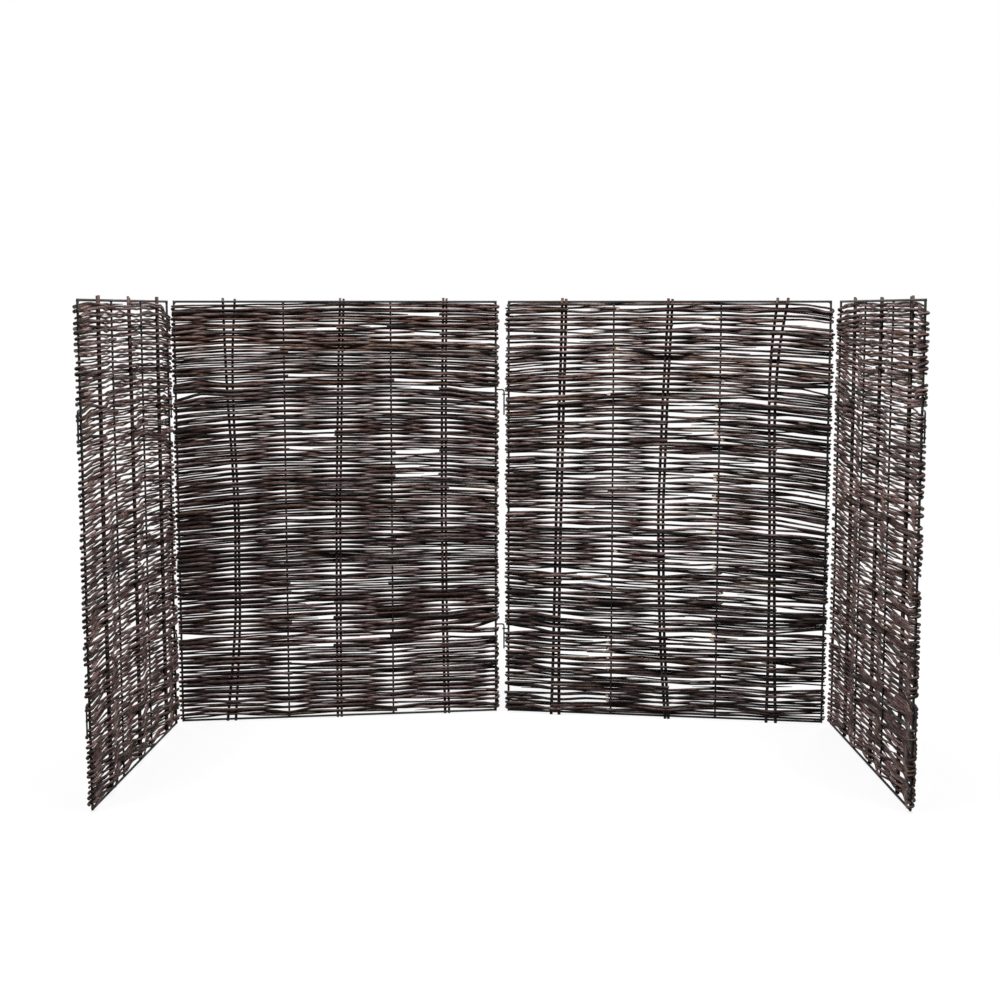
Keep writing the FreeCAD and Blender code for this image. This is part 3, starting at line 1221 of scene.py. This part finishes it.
def white_seen(tree):
    """1 where the camera, a reflection or a see-through surface looks at the background."""
    light = node(tree, "ShaderNodeLightPath").outputs
    mirrored = node(
        tree,
        "ShaderNodeMath",
        {0: light["Is Glossy Ray"], 1: light["Is Transmission Ray"]},
        operation="MAXIMUM",
    ).outputs[0]
    both = {0: light["Is Camera Ray"], 1: mirrored}
    return node(tree, "ShaderNodeMath", both, operation="MAXIMUM").outputs[0]


# Half the floor's side in metres, and how strongly the white surroundings light the object
FLOOR_REACH = 30
FILL_LIGHT = 0.02

# Soft boxes: name, place, what it points at, side in metres and watts
LAMPS = (
    ("overhead_softbox", (0.0, -0.7, 3.4), (0.0, 0.2, 0.5), 1.2, 47.0),
    ("left_softbox", (-1.5, -0.8, 3.3), (0.7, 0.0, 0.7), 1.1, 98.0),
    ("right_softbox", (1.5, -0.8, 3.3), (-0.7, 0.0, 0.7), 1.1, 98.0),
    ("rear_left_softbox", (-2.2, 2.4, 2.2), (-0.3, 0.2, 0.6), 1.3, 58.0),
    ("rear_right_softbox", (2.2, 2.4, 2.2), (0.3, 0.2, 0.6), 1.3, 58.0),
)

# Where the photograph was taken from, what it looks at, and the lens on a 36 mm wide film
CAMERA_PLACE = (0.0294, -4.0122, 1.1225)
CAMERA_AIM = (-0.0079, 0.0, 0.6539)
CAMERA_LENS = 58.75
FILM_WIDTH = 36.0


def point_at(holder, place, aim):
    """Set a lamp or a camera down and turn it to what it points at."""
    holder.location = place
    holder.rotation_euler = (Vector(aim) - Vector(place)).to_track_quat("-Z", "Y").to_euler()
    bpy.context.scene.collection.objects.link(holder)


def paper_floor():
    """White paper that keeps part of the shadow and fades into the surroundings. Little of its light
    falls back on the object."""
    bm = bmesh.new()
    bmesh.ops.create_grid(bm, x_segments=1, y_segments=1, size=FLOOR_REACH)
    mesh = finished_mesh(bm, "studio_floor")
    floor = bpy.data.objects.new("studio_floor", mesh)
    bpy.context.scene.collection.objects.link(floor)
    paper, tree = new_material("white_paper_floor")
    dim = node(tree, "ShaderNodeBsdfDiffuse", {"Color": linear("#363636")})
    lit = node(tree, "ShaderNodeBsdfDiffuse", {"Color": linear("#f4f4f4")})
    glow = node(tree, "ShaderNodeEmission", {"Color": (1, 1, 1, 1), "Strength": 1.0})
    place = node(tree, "ShaderNodeTexCoord").outputs["Object"]
    away = node(tree, "ShaderNodeVectorMath", {0: place}, operation="LENGTH").outputs["Value"]
    share = node(
        tree,
        "ShaderNodeMapRange",
        {"Value": away, "From Min": 0.9, "From Max": 2.6, "To Min": 0.85, "To Max": 1.0},
        interpolation_type="SMOOTHSTEP",
    ).outputs["Result"]
    white = node(tree, "ShaderNodeMixShader", {0: share, 1: lit.outputs[0], 2: glow.outputs[0]})
    seen = white_seen(tree)
    mix = node(tree, "ShaderNodeMixShader", {0: seen, 1: dim.outputs[0], 2: white.outputs[0]})
    node(tree, "ShaderNodeOutputMaterial", {"Surface": mix.outputs[0]})
    mesh.materials.append(paper)


def studio_light():
    """White surroundings, and soft boxes above, in front and behind."""
    world = bpy.data.worlds.new("white_studio")
    bpy.context.scene.world = world
    world.use_nodes = True
    tree = world.node_tree
    tree.nodes.clear()
    strength = node(
        tree,
        "ShaderNodeMapRange",
        {"Value": white_seen(tree), "To Min": FILL_LIGHT, "To Max": 1.0},
    ).outputs["Result"]
    around = node(tree, "ShaderNodeBackground", {"Color": (1, 1, 1, 1), "Strength": strength})
    node(tree, "ShaderNodeOutputWorld", {"Surface": around.outputs[0]})
    for name, place, aim, size, power in LAMPS:
        lamp = bpy.data.lights.new(name, "AREA")
        lamp.size = size
        lamp.energy = power
        point_at(bpy.data.objects.new(name, lamp), place, aim)


def photo_camera():
    """Camera in front of the open side, a little above the middle, as the photograph was taken."""
    lens = bpy.data.cameras.new("camera")
    lens.sensor_width = FILM_WIDTH
    lens.lens = CAMERA_LENS
    holder = bpy.data.objects.new("camera", lens)
    point_at(holder, CAMERA_PLACE, CAMERA_AIM)
    bpy.context.scene.camera = holder


paper_floor()
studio_light()
photo_camera()
bpy.context.scene.view_settings.view_transform = "Standard"
